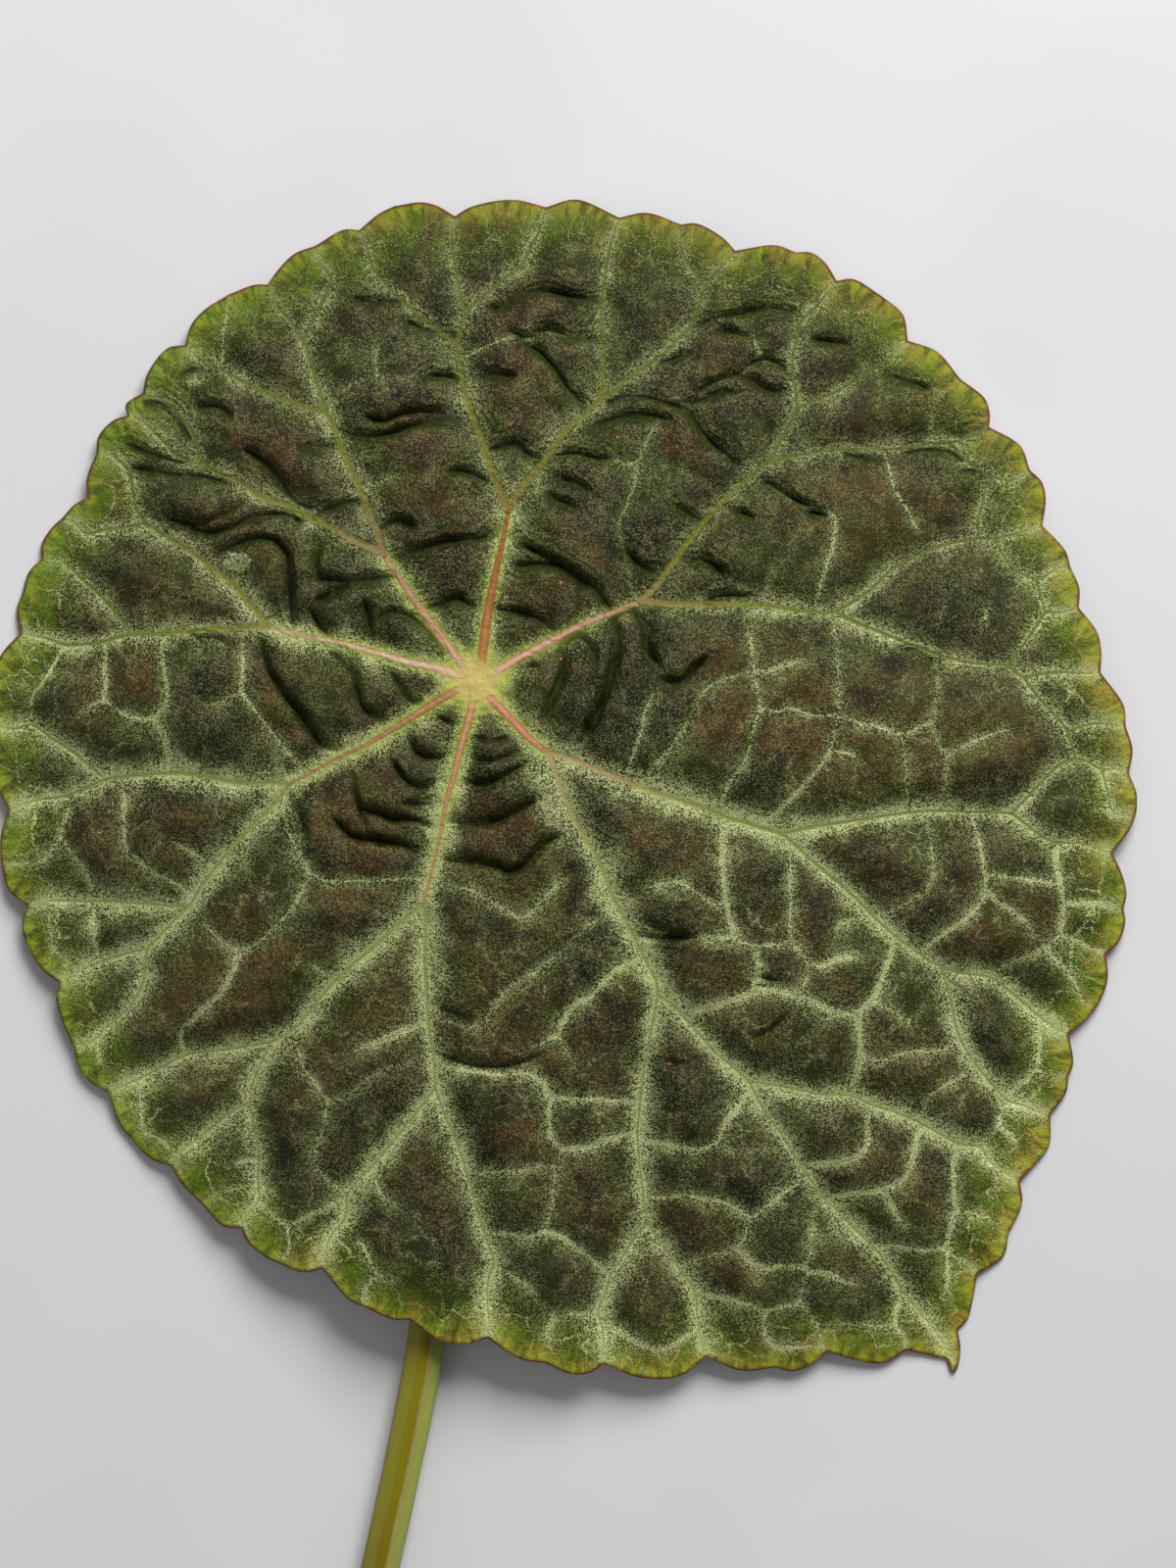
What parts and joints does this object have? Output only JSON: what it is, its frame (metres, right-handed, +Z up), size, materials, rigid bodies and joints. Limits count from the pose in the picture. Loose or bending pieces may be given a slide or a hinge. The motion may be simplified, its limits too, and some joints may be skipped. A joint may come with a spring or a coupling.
{
  "type": "begonia leaf",
  "caption": "Round, quilted begonia leaf with a scalloped margin and a drip tip, lying face up on its own bent-under stalk.",
  "frame": {"origin": "on the table, under the middle of the leaf's outer box", "axes": "+Z up out of the table, +Y from the cut end of the stalk towards the hub, +X towards the drip tip's side"},
  "size_m": [0.1764, 0.226, 0.0206],
  "materials": {
    "blade": "satin, finely papillose",
    "stalk": "smooth, slightly waxy"
  },
  "bodies": {
    "root": {"leaf_blade": "blade", "leaf_stalk": "stalk"}
  },
  "joints": []
}
